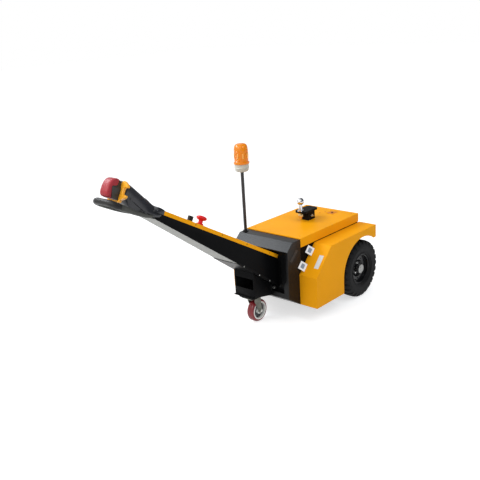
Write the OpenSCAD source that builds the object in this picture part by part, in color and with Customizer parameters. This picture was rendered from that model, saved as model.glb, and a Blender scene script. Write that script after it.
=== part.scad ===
// Pedestrian controlled three wheel battery tow tug
// Millimetres. +Z is up, -Y is the end with the boom and the control head.
// The pieces are drawn from the drive axle (y = 0) and the floor (z = 0),
// and the whole machine is then moved so that its footprint is centred.

/* [Drive wheels] */
// Radius of the drive tyre, to the tips of its lugs
tyre_r = 200; // [190:1:210]
// Width of the drive tyre
tyre_w = 100; // [80:1:110]
// Outer face of the drive tyre from the machine's middle
tyre_out_x = 352; // [350:1:352]
// Radius of the steel rim under the tyre bead
rim_r = 102; // [95:1:110]
// Thickness of the pressed rim disc
rim_t = 4; // [3:0.5:6]
// Radius of the shaft that drives each wheel
shaft_r = 15; // [12:0.5:18]

/* [Body] */
// Half width of the sheet metal body
body_hw = 222; // [215:1:225]
// Thickness of the body sheets
sheet = 3; // [2:0.5:4]
// Height of the belly above the floor
belly_z = 101; // [90:1:120]
// Front end of the lid, where the black housing begins
lid_front_y = -521; // [-540:1:-500]
// Rear end of the lid
lid_rear_y = 148; // [130:1:155]
// Height of the lid's top face
lid_top_z = 546; // [530:1:560]
// Depth of the lid's folded skirt
skirt_h = 60; // [50:1:62]
// Thickness of the lid sheet
lid_t = 3; // [2:0.5:4]
// Step from the lid's top down to the black housing's top
lid_step = 6; // [4:1:12]

/* [Fenders] */
// Outer face of each fender from the machine's middle
fender_x = 357; // [355:1:362]
// Thickness of the fender sheet
fender_t = 3; // [2:0.5:4]
// Height of the fender's top face
fender_top_z = 480; // [470:1:484]
// Front face of the fender
fender_front_y = -541; // [-550:1:-530]
// Top of the fender's upright front face, where the bevel begins
fender_front_z = 307; // [290:1:320]
// Rear end of the bevel on the fender's top
fender_bevel_y = -374; // [-400:1:-350]
// Rear face of the fender
fender_rear_y = 164; // [155:1:175]
// Height of the rear lip's lower edge
fender_lip_z = 392; // [380:1:400]
// Radius of the wheel arch
arch_r = 234; // [228:1:240]

/* [Front housing] */
// Front face of the black housing
house_front_y = -655; // [-670:1:-645]
// Top of the housing's upright front face
house_front_z = 490; // [480:1:500]
// Front edge of the housing's flat top
house_top_y = -601; // [-610:1:-590]
// Lowest edge of the housing's front face
house_low_z = 172; // [165:1:180]
// Half width of the alcove behind the boom
alcove_hw = 206; // [190:1:212]
// Half width of the alcove at its floor
alcove_low_hw = 185; // [175:1:195]
// Height at which the alcove's sides begin to draw in
alcove_draw_z = 296; // [285:1:310]
// Height of the alcove's floor
alcove_floor_z = 205; // [195:1:215]
// Height of the alcove's roof
alcove_roof_z = 484; // [470:1:486]
/* [Nose] */
// Half width of the nose box
nose_hw = 77; // [70:1:80]
// Front face of the nose box
nose_front_y = -825; // [-835:1:-815]
// Lower edge of the nose's front face
nose_low_z = 210; // [200:1:215]
// Lower edge of the nose's sides where they meet the housing
nose_rear_z = 176; // [172:1:185]
// Height of the level floor inside the nose, which carries the castor
nose_floor_z = 187; // [185:1:190]
// Lower edge of the window in the nose's front
window_low_z = 262; // [250:1:270]
// Upper edge of the window in the nose's front
window_high_z = 326; // [315:1:335]
// Half width of the window in the nose's front
window_hw = 64; // [50:1:66]
// How far the lip under the nose's front stands proud
lip_d = 10; // [6:1:14]
// Thickness of the lip under the nose's front
lip_t = 5; // [3:1:8]

/* [Castor] */
// Radius of the castor wheel
castor_r = 75; // [70:1:80]
// Width of the castor's tread
castor_w = 46; // [40:1:50]
// Distance of the swivel axis in front of the drive axle
castor_swivel_y = -757; // [-765:1:-750]
// Distance of the castor's axle behind its swivel axis
castor_trail = 38; // [30:1:45]
// Radius of the castor's axle bolt
castor_axle_r = 6; // [5:0.5:8]
// Radius of the kingpin
kingpin_r = 8; // [6:0.5:10]
// Thickness of the castor's fork sheet
fork_t = 4; // [3:0.5:6]

/* [Boom] */
// Half width of the boom at its root
boom_root_hw = 118; // [110:1:125]
// Half width of the boom at the head
boom_head_hw = 74; // [68:1:80]
// Rear edge of the boom, at the alcove's back wall
boom_root_y = -618; // [-630:1:-617]
// Height of the boom's top edge at its root
boom_root_z = 445; // [435:1:450]
// Upper end of the boom, measured along its top edge
boom_len = 1040; // [1020:1:1060]
// Slope of the boom's top edge
boom_top_a = 29.9; // [29:0.1:31]
// Slope of the boom's bottom edge
boom_bot_a = 36.3; // [36:0.1:37]
// Thickness of the boom's side plates
boom_t = 3; // [2:0.5:4]
// Depth of the lips that the yellow strip folds down over the sides
strip_lip = 28; // [20:1:32]
// Width of the flange that bolts the boom to the housing
root_flange = 18; // [12:1:24]

/* [Head] */
// Slope of the control head
head_a = 30; // [28:0.5:32]
// Distance from the boom's end to the front of the thumb wheels
throttle_u = 248; // [240:1:252]
// Radius of the round belly button
button_r = 50; // [45:1:54]
// Front face of the belly button along the head
button_u = 345; // [335:1:350]
// Height of the belly button's middle above the head's base line
button_n = 80; // [75:1:85]
// Radius of the grip tube
grip_r = 14; // [12:0.5:16]
// Half width of the pair of grips, to the tube's middle
grip_hw = 92; // [88:1:100]
// Front end of the grips along the head, to the tube's middle
grip_u = 332; // [325:1:340]

/* [Hitch] */
// Diameter of the tow ball
ball_d = 50; // [49:0.1:51]
// Height of the tow ball's middle
ball_z = 688; // [680:1:695]
// Place of the tow ball's middle along the machine
ball_y = -218; // [-225:1:-210]
// Height of the block under the hitch plate
hitch_block_h = 60; // [50:1:70]
// Thickness of the hitch plate
hitch_plate_t = 14; // [10:1:18]

/* [Beacon] */
// Place of the beacon pole across the machine, on the left side
pole_x = -203; // [-210:1:-195]
// Place of the beacon pole along the machine
pole_y = -562; // [-570:1:-550]
// Radius of the beacon pole
pole_r = 11; // [9:0.5:13]
// Height of the top of the pole
pole_top_z = 945; // [930:1:960]
// Height of the beacon's grey base
beacon_base_h = 52; // [45:1:60]
// Height of the amber lens
beacon_lens_h = 132; // [120:1:140]
// Radius of the amber lens
lens_r = 46; // [42:1:50]

/* [Hidden] */
// Clearance between pieces that turn on each other, radially
run_gap = 0.05;
// Clearance between pieces that are bolted or clamped together
seat_gap = 0.3;
// A little more than nothing, to cut clean through a face
cut = 1;

axle_z = tyre_r;
tyre_in_x = tyre_out_x - tyre_w;
house_top_z = lid_top_z - lid_step;
house_hw = body_hw;
house_rear_y = lid_front_y - seat_gap;
lid_hw = body_hw + seat_gap + lid_t;
alcove_back_y = boom_root_y + seat_gap;
fender_in_x = body_hw + seat_gap;
boom_end_y = boom_root_y - boom_len * cos(boom_top_a);
boom_end_top_z = boom_root_z + boom_len * sin(boom_top_a);
// The boom's bottom edge runs through the top of the nose's front face
nose_top_z = 382;

function boom_top(y) = boom_root_z + (boom_root_y - y) * tan(boom_top_a);
function boom_bot(y) = nose_top_z + (nose_front_y - y) * tan(boom_bot_a);
function boom_hw(y) = boom_root_hw + (boom_head_hw - boom_root_hw) * (boom_root_y - y) / (boom_root_y - boom_end_y);

// The head's own frame: x across, u up along the head, n square to it
head_y = boom_end_y - 10;
head_z = boom_bot(boom_end_y) + 4;
// How far the strip's top lies above the head's base line, at the boom's end
strip_n = (boom_end_top_z + seat_gap + sheet - head_z) * cos(head_a) + (boom_end_y - head_y) * sin(head_a);
grip_n = -2;
neck_r = 30;
shell_low_n = grip_n + grip_r + seat_gap;
tip_y = head_y - grip_u * cos(head_a) + grip_n * sin(head_a) - grip_r;
mid_y = (tip_y + tyre_r) / 2;

castor_axle_y = castor_swivel_y + castor_trail;
castor_plate_t = 5;
castor_plate_z = nose_floor_z - castor_plate_t;
bolt_y = -640;
bolt_z = 226;
bolt_r = 6;

// Moves a piece from the axle's frame to the part's own frame
module place() {
    translate([0, -mid_y, 0]) children();
}

// A profile drawn in y and z, pushed along x from x0 to x1
module side_profile(points, x0, x1) {
    translate([x0, 0, 0])
        rotate([90, 0, 90])
            linear_extrude(x1 - x0) polygon(points);
}

// A piece drawn on the right, or its mirror image on the left
module on_side(side) {
    if (side > 0) children();
    else mirror([1, 0, 0]) children();
}

// The head's frame: its children use x, minus u and n
module in_head() {
    translate([0, head_y, head_z]) rotate([-head_a, 0, 0]) children();
}

// A cylinder along x, centred at y and z, from x0 to x1
module rod_x(r, x0, x1, y, z, fn = 48) {
    translate([x0, y, z]) rotate([0, 90, 0]) cylinder(r = r, h = x1 - x0, $fn = fn);
}

module chassis() color("#202022") {
    wall_top = lid_top_z - lid_t - seat_gap;
    difference() {
        translate([-body_hw, lid_front_y, belly_z])
            cube([2 * body_hw, lid_rear_y - lid_front_y - lid_t - sheet - 2 * seat_gap, wall_top - belly_z]);
        translate([-body_hw + sheet, lid_front_y - cut, belly_z + sheet])
            cube([2 * (body_hw - sheet), lid_rear_y - lid_front_y, wall_top]);
        translate([-body_hw + sheet, -arch_r / 2, belly_z - cut])
            cube([2 * (body_hw - sheet), arch_r, sheet + 2 * cut]);
        rod_x(40, -body_hw - cut, body_hw + cut, 0, axle_z);
    }
}

module rear_panel() color("#f5a310")
    translate([-body_hw, lid_rear_y - lid_t - sheet - seat_gap, belly_z])
        cube([2 * body_hw, sheet, lid_top_z - lid_t - seat_gap - belly_z]);

module top_cover() color("#f5a310") {
    difference() {
        translate([-lid_hw, lid_front_y, lid_top_z - skirt_h])
            cube([2 * lid_hw, lid_rear_y - lid_front_y, skirt_h]);
        translate([-lid_hw + lid_t, lid_front_y - cut, lid_top_z - skirt_h - cut])
            cube([2 * (lid_hw - lid_t), lid_rear_y - lid_front_y - lid_t + cut, skirt_h - lid_t + cut]);
    }
    translate([-body_hw + sheet + seat_gap, lid_front_y, lid_top_z - 20])
        cube([2 * (body_hw - sheet - seat_gap), lid_t, 20 - cut]);
}

function housing_outline(s) = [
    [house_rear_y, belly_z + s], [fender_front_y, belly_z + s], [house_front_y + s, house_low_z + s],
    [house_front_y + s, house_front_z - s / 2], [house_top_y + s / 2, house_top_z - s], [house_rear_y, house_top_z - s]];

function alcove_outline(s) = [
    [-alcove_low_hw - s, alcove_floor_z - s], [-alcove_low_hw - s, alcove_draw_z - 33],
    [-alcove_hw - s, alcove_draw_z], [-alcove_hw - s, alcove_roof_z + s],
    [alcove_hw + s, alcove_roof_z + s], [alcove_hw + s, alcove_draw_z],
    [alcove_low_hw + s, alcove_draw_z - 33], [alcove_low_hw + s, alcove_floor_z - s]];

// The alcove as a solid: s is how much larger it is than the opening
module alcove_solid(s, y0, y1)
    translate([0, y1, 0]) rotate([90, 0, 0]) linear_extrude(y1 - y0) polygon(alcove_outline(s));

module front_housing() color("#202022")
    difference() {
        side_profile(housing_outline(0), -house_hw, house_hw);
        difference() {
            side_profile([for (p = housing_outline(sheet)) p],
                -house_hw + sheet, house_hw - sheet);
            alcove_solid(sheet, house_front_y, alcove_back_y + sheet);
        }
        translate([-house_hw + sheet, house_rear_y - cut, belly_z + sheet])
            cube([2 * (house_hw - sheet), 2 * cut, house_top_z - belly_z - 2 * sheet]);
        alcove_solid(0, house_front_y - cut, alcove_back_y);
    }

module battery() color("#3a3a40")
    translate([-190, -480, belly_z + sheet + seat_gap]) cube([380, 300, 330]);

module transaxle() color("#55565a")
    difference() {
        union() {
            rod_x(82, -70, 70, 0, axle_z, 64);
            for (side = [-1, 1]) on_side(side) {
                translate([69, 0, axle_z]) rotate([0, 90, 0]) cylinder(r1 = 70, r2 = 36, h = 60, $fn = 64);
                rod_x(36, 128, tyre_in_x - 15, 0, axle_z);
                rod_x(64, body_hw - sheet - seat_gap - 10, body_hw - sheet - seat_gap, 0, axle_z, 64);
            }
            translate([-50, -50, axle_z + 60]) cube([100, 100, 60]);
        }
        for (side = [-1, 1]) on_side(side)
            rod_x(shaft_r + run_gap, 150, tyre_in_x, 0, axle_z);
    }

module drive_motor() color("#2c2c2e")
    translate([0, 0, axle_z + 120 + seat_gap]) cylinder(r = 75, h = 190, $fn = 64);

function arch_points() = [
    for (a = [180 : -6 : 36]) [arch_r * cos(a), axle_z + arch_r * sin(a)]];
arch_end_y = sqrt(arch_r * arch_r - (fender_lip_z - axle_z) * (fender_lip_z - axle_z));

function fender_outline() = [
    [fender_front_y, belly_z], [fender_front_y, fender_front_z], [fender_bevel_y, fender_top_z],
    [fender_rear_y, fender_top_z], [fender_rear_y, fender_lip_z], [-arch_r, fender_lip_z], [-arch_r, belly_z]];

module arch_cut(x0, x1) {
    rod_x(arch_r, x0, x1, 0, axle_z, 96);
    translate([x0, -arch_r, belly_z - cut]) cube([x1 - x0, 2 * arch_r, axle_z - belly_z + cut]);
}

module fender() {
    k = fender_t * tan((90 - atan2(fender_top_z - fender_front_z, fender_bevel_y - fender_front_y)) / 2);
    side_points = [
        [fender_front_y, belly_z], [fender_front_y, fender_front_z], [fender_bevel_y, fender_top_z],
        [fender_rear_y, fender_top_z], [fender_rear_y, fender_lip_z], [0, fender_lip_z], [0, belly_z]];
    inner = [
        [fender_front_y + fender_t, belly_z - cut], [fender_front_y + fender_t, fender_front_z - k],
        [fender_bevel_y + k, fender_top_z - fender_t], [fender_rear_y - fender_t, fender_top_z - fender_t],
        [fender_rear_y - fender_t, belly_z - cut]];
    difference() {
        side_profile(side_points, fender_in_x, fender_x);
        side_profile(inner, fender_in_x - cut, fender_x - fender_t);
        arch_cut(fender_x - fender_t - cut, fender_x + cut);
        translate([fender_in_x - cut, -arch_r, belly_z - cut])
            cube([fender_x - fender_in_x - fender_t, fender_rear_y + arch_r - fender_t, fender_lip_z - belly_z]);
    }
    translate([fender_in_x, lid_rear_y - lid_t - sheet, fender_lip_z])
        cube([fender_t, fender_rear_y - lid_rear_y + lid_t + sheet - cut, fender_top_z - fender_lip_z - cut]);
}

module fender_left() color("#f5a310") on_side(-1) fender();
module fender_right() color("#f5a310") on_side(1) fender();

// Two folded plates that clasp the fender's bevel to the housing's side
latch_len = 54;
latch_t = 3;
// Columns: distance of each plate's middle along the bevel from its foot
latch_at = [54, 170];

module latch_plates() {
    bevel_a = atan2(fender_top_z - fender_front_z, fender_bevel_y - fender_front_y);
    for (s = latch_at)
        translate([0, fender_front_y, fender_front_z]) rotate([bevel_a, 0, 0])
            translate([house_hw + seat_gap, s - latch_len / 2, seat_gap]) {
                cube([latch_t, latch_len, 46]);
                cube([28, latch_len, latch_t]);
            }
}

module latch_plates_left() color("#c9ccd0") on_side(-1) latch_plates();
module latch_plates_right() color("#c9ccd0") on_side(1) latch_plates();

// The cradle's floor lies under the boom's lower edge, and the nose under that
slant = 1 / cos(boom_bot_a);
function cradle_low(y) = boom_bot(y) - (sheet + seat_gap) * slant;
function nose_high(y) = cradle_low(y) - seat_gap * slant;
nose_back_y = house_front_y - seat_gap;

nose_outline = [
    [nose_front_y, nose_low_z], [nose_front_y, nose_high(nose_front_y)],
    [boom_root_y, nose_high(boom_root_y)], [boom_root_y, alcove_floor_z + seat_gap],
    [nose_back_y, alcove_floor_z + seat_gap], [nose_back_y, nose_rear_z]];

// Half width and height of the tub under the nose, which carries the castor
tub_hw = 60;
tub_top_z = nose_low_z + 2;

module nose_box() color("#202022") {
    difference() {
        union() {
            side_profile(nose_outline, -nose_hw, nose_hw);
            translate([-tub_hw, castor_swivel_y - 58, nose_floor_z])
                cube([2 * tub_hw, nose_back_y - castor_swivel_y + 58, tub_top_z - nose_floor_z + sheet]);
        }
        side_profile([
            [nose_front_y + sheet, tub_top_z + sheet], [nose_front_y + sheet, nose_high(nose_front_y) - sheet],
            [nose_back_y - sheet, nose_high(nose_back_y) - sheet], [nose_back_y - sheet, tub_top_z + sheet]],
            -nose_hw + sheet, nose_hw - sheet);
        translate([-nose_hw + sheet, nose_front_y + sheet, 0])
            cube([2 * (nose_hw - sheet), nose_back_y - nose_front_y - 2 * sheet, nose_floor_z]);
        for (side = [-1, 1]) on_side(side)
            translate([tub_hw, nose_front_y + sheet, 0])
                cube([nose_hw - sheet - tub_hw, nose_back_y - nose_front_y - 2 * sheet, tub_top_z]);
        translate([-tub_hw + sheet, castor_swivel_y - 58 + sheet, nose_floor_z + sheet])
            cube([2 * (tub_hw - sheet), nose_back_y - castor_swivel_y + 58 - 2 * sheet, tub_top_z - nose_floor_z + cut]);
        translate([-window_hw, nose_front_y - cut, window_low_z])
            cube([2 * window_hw, sheet + 2 * cut, window_high_z - window_low_z]);
        rod_x(bolt_r + seat_gap, -nose_hw - cut, nose_hw + cut, bolt_y, bolt_z);
    }
    translate([-nose_hw - 3, nose_front_y - lip_d, nose_low_z - lip_t])
        cube([2 * (nose_hw + 3), lip_d + sheet, lip_t]);
}

// A channel that the boom sits in, on top of the nose
module nose_cradle() color("#202022") {
    front_y = nose_front_y - 60;
    rear_y = house_front_y - 12;
    wall = 18;
    floor_points = [
        [nose_front_y, cradle_low(nose_front_y)], [nose_front_y, cradle_low(nose_front_y) + sheet * slant],
        [rear_y, cradle_low(rear_y) + sheet * slant], [rear_y, cradle_low(rear_y)]];
    side_points = [
        [front_y - 20, boom_bot(front_y - 20) + 6], [front_y - 20, boom_bot(front_y - 20) + wall],
        [rear_y, boom_bot(rear_y) + wall], [rear_y, cradle_low(rear_y)],
        [nose_front_y, cradle_low(nose_front_y)], [front_y, boom_bot(front_y)]];
    for (side = [-1, 1]) on_side(side)
        difference() {
            side_profile(side_points, boom_head_hw, boom_root_hw + 20);
            plan_wedge(seat_gap, front_y - 30, rear_y + cut);
            plan_outside(boom_t + seat_gap);
        }
    intersection() {
        side_profile(floor_points, -boom_root_hw - 20, boom_root_hw + 20);
        plan_wedge(seat_gap + cut, front_y - 30, rear_y + cut);
    }
}

// All the room between the boom's side plates, s wider than their outer faces
module plan_wedge(s, y0, y1)
    translate([0, 0, -cut]) linear_extrude(1400)
        polygon([[-boom_hw(y0) - s, y0], [boom_hw(y0) + s, y0], [boom_hw(y1) + s, y1], [-boom_hw(y1) - s, y1]]);

// Everything farther out than s beyond the boom's side plates, on the right
module plan_outside(s)
    translate([0, 0, -cut]) linear_extrude(1400)
        polygon([[boom_hw(boom_end_y) + s, boom_end_y], [boom_root_hw + s, boom_root_y],
            [boom_root_hw + 100, boom_root_y], [boom_root_hw + 100, boom_end_y]]);

module boom_bolt() color("#c4c6ca") {
    rod_x(bolt_r, -nose_hw - 20, nose_hw + 20, bolt_y, bolt_z);
    for (side = [-1, 1]) on_side(side) {
        rod_x(15, nose_hw + seat_gap, nose_hw + 8, bolt_y, bolt_z);
        rod_x(12, nose_hw + 7, nose_hw + 22, bolt_y, bolt_z, 6);
    }
}

module castor_plate() color("#9b9c98") {
    translate([-45, castor_swivel_y - 55, castor_plate_z]) cube([90, 110, castor_plate_t - seat_gap]);
    translate([0, castor_swivel_y, castor_plate_z - 9]) cylinder(r = 38, h = 10, $fn = 64);
    translate([0, castor_swivel_y, fork_top_z - fork_t - seat_gap - 10]) cylinder(r = kingpin_r, h = 22, $fn = 48);
    translate([0, castor_swivel_y, fork_top_z - fork_t - seat_gap - 7]) cylinder(r = 14, h = 7, $fn = 6);
}

castor_gap = 4;
fork_top_z = castor_plate_z - 9 - 1;
fork_in_x = castor_w / 2 + castor_gap + 1;

module castor_fork() color("#9b9c98")
    difference() {
        union() {
            translate([0, castor_swivel_y, fork_top_z - fork_t]) cylinder(r = 36, h = fork_t, $fn = 64);
            translate([-fork_in_x - fork_t, castor_swivel_y - 12, fork_top_z - fork_t])
                cube([2 * (fork_in_x + fork_t), 58, fork_t]);
            for (side = [-1, 1]) on_side(side)
                difference() {
                    side_profile([
                        [castor_swivel_y - 12, fork_top_z], [castor_swivel_y - 12, fork_top_z - 22],
                        [castor_axle_y - 15, castor_r - 4], [castor_axle_y - 8, castor_r - 14],
                        [castor_axle_y + 8, castor_r - 14], [castor_axle_y + 15, castor_r - 4],
                        [castor_swivel_y + 46, fork_top_z - 22], [castor_swivel_y + 46, fork_top_z]],
                        fork_in_x, fork_in_x + fork_t);
                }
        }
        translate([0, castor_swivel_y, fork_top_z - 40]) cylinder(r = kingpin_r + run_gap, h = 60, $fn = 48);
        rod_x(castor_axle_r + run_gap, -60, 60, castor_axle_y, castor_r);
    }

module castor_axle() color("#c4c6ca") {
    reach = fork_in_x + fork_t;
    rod_x(castor_axle_r, -reach - 6, reach + 6, castor_axle_y, castor_r);
    rod_x(10, -reach - 9, -reach - seat_gap, castor_axle_y, castor_r, 6);
    rod_x(10, reach + seat_gap, reach + 9, castor_axle_y, castor_r, 6);
}

castor_rim_r = castor_r - 14;

module castor_rim() color("#c9c9c4")
    translate([0, castor_axle_y, castor_r]) rotate([0, 90, 0]) rotate_extrude($fn = 72)
        polygon([
            [castor_axle_r + run_gap, -castor_w / 2 - castor_gap], [22, -castor_w / 2 - castor_gap],
            [24, -8], [castor_rim_r - 6, -6], [castor_rim_r - 4, -castor_w / 2 + 1],
            [castor_rim_r, -castor_w / 2 + 1], [castor_rim_r, castor_w / 2 - 1],
            [castor_rim_r - 4, castor_w / 2 - 1], [castor_rim_r - 6, 6], [24, 8],
            [22, castor_w / 2 + castor_gap], [castor_axle_r + run_gap, castor_w / 2 + castor_gap]]);

module castor_tread() color("#6e141e")
    translate([0, castor_axle_y, castor_r]) rotate([0, 90, 0]) rotate_extrude($fn = 72)
        polygon([
            [castor_rim_r, -castor_w / 2], [castor_r - 7, -castor_w / 2], [castor_r - 2, -castor_w / 2 + 5],
            [castor_r, -castor_w / 2 + 11], [castor_r, castor_w / 2 - 11],
            [castor_r - 2, castor_w / 2 - 5], [castor_r - 7, castor_w / 2], [castor_rim_r, castor_w / 2]]);

// Profiles of a drive wheel use x from the tyre's middle, outwards positive
module wheel_turned(points, fn = 96)
    translate([tyre_in_x + tyre_w / 2, 0, axle_z]) rotate([0, 90, 0]) rotate_extrude($fn = fn) polygon(points);

module tyre() {
    h = tyre_w / 2;
    wheel_turned([
        [rim_r, -h + 14], [rim_r + 10, -h + 8], [rim_r + 40, -h], [tyre_r - 30, -h + 2], [tyre_r - 12, -h + 8],
        [tyre_r - 2, -h + 16], [tyre_r, -h + 30], [tyre_r, h - 30], [tyre_r - 2, h - 16], [tyre_r - 12, h - 8],
        [tyre_r - 30, h - 2], [rim_r + 40, h], [rim_r + 10, h - 8], [rim_r, h - 14]]);
}

module rim() {
    h = tyre_w / 2 - 14;
    wheel_turned([
        [rim_r - rim_t, -h], [rim_r, -h], [rim_r, h], [rim_r - rim_t, h], [rim_r - rim_t - 4, h - 4],
        [rim_r - rim_t - 2, 12], [60, 8], [46, -8], [46, -8 - rim_t], [62, 8 - rim_t], [rim_r - rim_t - 2, 6]]);
}

module hub() {
    wheel_turned([
        [0, -tyre_w / 2 - 80], [shaft_r, -tyre_w / 2 - 80], [shaft_r, -tyre_w / 2 - 10], [52, -tyre_w / 2 - 10],
        [52, -tyre_w / 2], [45.7, -tyre_w / 2 + 4], [45.7, 2], [30, 4], [30, 14], [0, 18]], 72);
}

module tyre_left() color("#1e1e1e") on_side(-1) tyre();
module tyre_right() color("#1e1e1e") on_side(1) tyre();
module rim_left() color("#17181a") on_side(-1) rim();
module rim_right() color("#17181a") on_side(1) rim();
module hub_left() color("#b9bbbe") on_side(-1) hub();
module hub_right() color("#b9bbbe") on_side(1) hub();

hitch_mid_y = ball_y + 78;
hitch_plate_z = lid_top_z + 2 * seat_gap + hitch_block_h;

module hitch_block() color("#202022")
    translate([-34, hitch_mid_y - 36, lid_top_z + seat_gap]) cube([68, 72, hitch_block_h]);

module hitch_plate() color("#202022") {
    l = 78;
    w = 45;
    c = 14;
    translate([0, hitch_mid_y - 14, hitch_plate_z]) difference() {
        linear_extrude(hitch_plate_t) polygon([
            [-w, -l + c], [-w + c, -l], [w - c, -l], [w, -l + c], [w, l - c], [w - c, l], [-w + c, l], [-w, l - c]]);
        translate([0, ball_y - hitch_mid_y + 14, -cut]) cylinder(r = 10 + seat_gap, h = hitch_plate_t + 2 * cut, $fn = 48);
    }
}

module tow_ball() color("#d4d6da") {
    top = hitch_plate_z + hitch_plate_t;
    translate([0, ball_y, ball_z]) sphere(d = ball_d, $fn = 64);
    translate([0, ball_y, top + seat_gap]) cylinder(r = 21, h = 8, $fn = 48);
    translate([0, ball_y, top + seat_gap]) cylinder(r = 13, h = ball_z - top - 5, $fn = 48);
    translate([0, ball_y, hitch_plate_z - 24]) cylinder(r = 10, h = 30 + hitch_plate_t, $fn = 48);
    translate([0, ball_y, hitch_plate_z - 17]) cylinder(r = 17, h = 17 - seat_gap, $fn = 6);
}

module beacon_pole() color("#1c1c1e") {
    translate([pole_x, pole_y, house_top_z + seat_gap]) cylinder(r = pole_r, h = pole_top_z - house_top_z - seat_gap, $fn = 48);
    translate([pole_x, pole_y, house_top_z + seat_gap]) cylinder(r = pole_r + 8, h = 5, $fn = 48);
}

module beacon_base() color("#d5d6d2")
    translate([pole_x, pole_y, pole_top_z + seat_gap]) rotate_extrude($fn = 64)
        polygon([[0, 0], [30, 0], [36, 5], [38, 24], [49, 34], [49, beacon_base_h], [0, beacon_base_h]]);

module beacon_lens() color("#f28a1e")
    translate([pole_x, pole_y, pole_top_z + beacon_base_h + 2 * seat_gap]) rotate_extrude($fn = 64)
        polygon([
            [0, 0], [lens_r + 6, 0], [lens_r + 6, 14], [lens_r, 16], [lens_r - 1, beacon_lens_h - 12],
            [lens_r - 8, beacon_lens_h - 2], [lens_r - 16, beacon_lens_h], [0, beacon_lens_h]]);

function boom_outline(top_in, bot_in, rear_in) = [
    [boom_root_y - rear_in, boom_bot(boom_root_y - rear_in) + bot_in],
    [boom_root_y - rear_in, boom_top(boom_root_y - rear_in) - top_in],
    [boom_end_y, boom_end_top_z - top_in], [boom_end_y - 34, boom_bot(boom_end_y - 34) + bot_in]];

module boom_sides() color("#202022") {
    difference() {
        intersection() {
            side_profile(boom_outline(0, 0, 0), -boom_root_hw - 5, boom_root_hw + 5);
            plan_wedge(0, boom_end_y - 100, boom_root_y);
        }
        intersection() {
            side_profile([
                [boom_root_y - sheet, 0], [boom_root_y - sheet, 2000], [boom_end_y - 200, 2000], [boom_end_y - 200, 0]],
                -boom_root_hw - 5, boom_root_hw + 5);
            plan_wedge(-boom_t, boom_end_y - 100, boom_root_y);
        }
    }
    for (side = [-1, 1]) on_side(side)
        translate([boom_root_hw - boom_t, boom_root_y - sheet, 250])
            cube([root_flange + boom_t, sheet, boom_root_z - strip_lip / cos(boom_top_a) - cut - 250]);
}

module boom_strip() color("#f5a310")
    difference() {
        intersection() {
            side_profile([
                [boom_root_y, boom_root_z - strip_lip / cos(boom_top_a)], [boom_root_y, boom_root_z + seat_gap + sheet],
                [boom_end_y, boom_end_top_z + seat_gap + sheet], [boom_end_y, boom_end_top_z - strip_lip / cos(boom_top_a)]],
                -boom_root_hw - 8, boom_root_hw + 8);
            plan_wedge(seat_gap + 2, boom_end_y, boom_root_y);
        }
        intersection() {
            side_profile([
                [boom_root_y + cut, 0], [boom_root_y + cut, boom_root_z + seat_gap - cut * tan(boom_top_a)],
                [boom_end_y - cut, boom_end_top_z + seat_gap + cut * tan(boom_top_a)], [boom_end_y - cut, 0]],
                -boom_root_hw - 8, boom_root_hw + 8);
            plan_wedge(seat_gap, boom_end_y - 2 * cut, boom_root_y + 2 * cut);
        }
    }

module boom_underplate() color("#969691")
    intersection() {
        side_profile([
            [nose_front_y, boom_bot(nose_front_y)], [nose_front_y, boom_bot(nose_front_y) + sheet],
            [boom_end_y - 34, boom_bot(boom_end_y - 34) + sheet], [boom_end_y - 34, boom_bot(boom_end_y - 34)]],
            -boom_root_hw - 5, boom_root_hw + 5);
        plan_wedge(-boom_t - seat_gap, boom_end_y - 100, boom_root_y);
    }

module head_shell() color("#2b2c30")
    in_head() {
        difference() {
            hull() {
                translate([-44, 47, strip_n]) cube([88, 2, 6]);
                translate([-60, -40, shell_low_n]) cube([120, 8, 50]);
                translate([-52, -100, shell_low_n]) cube([104, 10, 30]);
                translate([0, -150, 70]) scale([1, 1, 1.06]) sphere(r = 48, $fn = 32);
                translate([0, -190, 82]) rotate([90, 0, 0]) cylinder(r = 44, h = 48, $fn = 32);
            }
            translate([-100, -32, -50]) cube([200, 100, 50 + strip_n + seat_gap]);
        }
        translate([0, -230, button_n]) rotate([90, 0, 0]) cylinder(r = neck_r, h = 262 - seat_gap - 230, $fn = 48);
    }

// One grip: a bent tube from the neck, out, forward and back to the middle
module head_grip() {
    bend_r = 52;
    foot_u = 70;
    in_head() translate([0, 0, grip_n]) {
        translate([grip_hw, -(grip_u - bend_r), 0]) rotate([-90, 0, 0])
            cylinder(r = grip_r, h = grip_u - 2 * bend_r - foot_u, $fn = 32);
        translate([grip_hw - bend_r, -(grip_u - bend_r), 0]) rotate([0, 0, -90])
            rotate_extrude(angle = 90, $fn = 64) translate([bend_r, 0]) circle(r = grip_r, $fn = 32);
        translate([grip_hw - bend_r, -(foot_u + bend_r), 0])
            rotate_extrude(angle = 90, $fn = 64) translate([bend_r, 0]) circle(r = grip_r, $fn = 32);
        translate([seat_gap / 2, -grip_u, 0]) rotate([0, 90, 0])
            cylinder(r = grip_r, h = grip_hw - bend_r - seat_gap / 2, $fn = 32);
        translate([seat_gap / 2, -foot_u, 0]) rotate([0, 90, 0])
            cylinder(r = grip_r, h = grip_hw - bend_r - seat_gap / 2, $fn = 32);
    }
}

module head_grip_left() color("#2b2c30") on_side(-1) head_grip();
module head_grip_right() color("#2b2c30") on_side(1) head_grip();

module head_collar() color("#1a1a1c")
    in_head() translate([0, -262, button_n]) rotate([90, 22.5, 0]) cylinder(r = 54, h = 38 - seat_gap, $fn = 8);

module belly_button() color("#be3c46")
    in_head() translate([0, -300, button_n]) rotate([90, 0, 0]) rotate_extrude($fn = 72)
        polygon([[0, 0], [button_r - 6, 0], [button_r, 8], [button_r, button_u - 300 - 10],
            [button_r - 10, button_u - 300], [0, button_u - 300]]);

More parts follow.
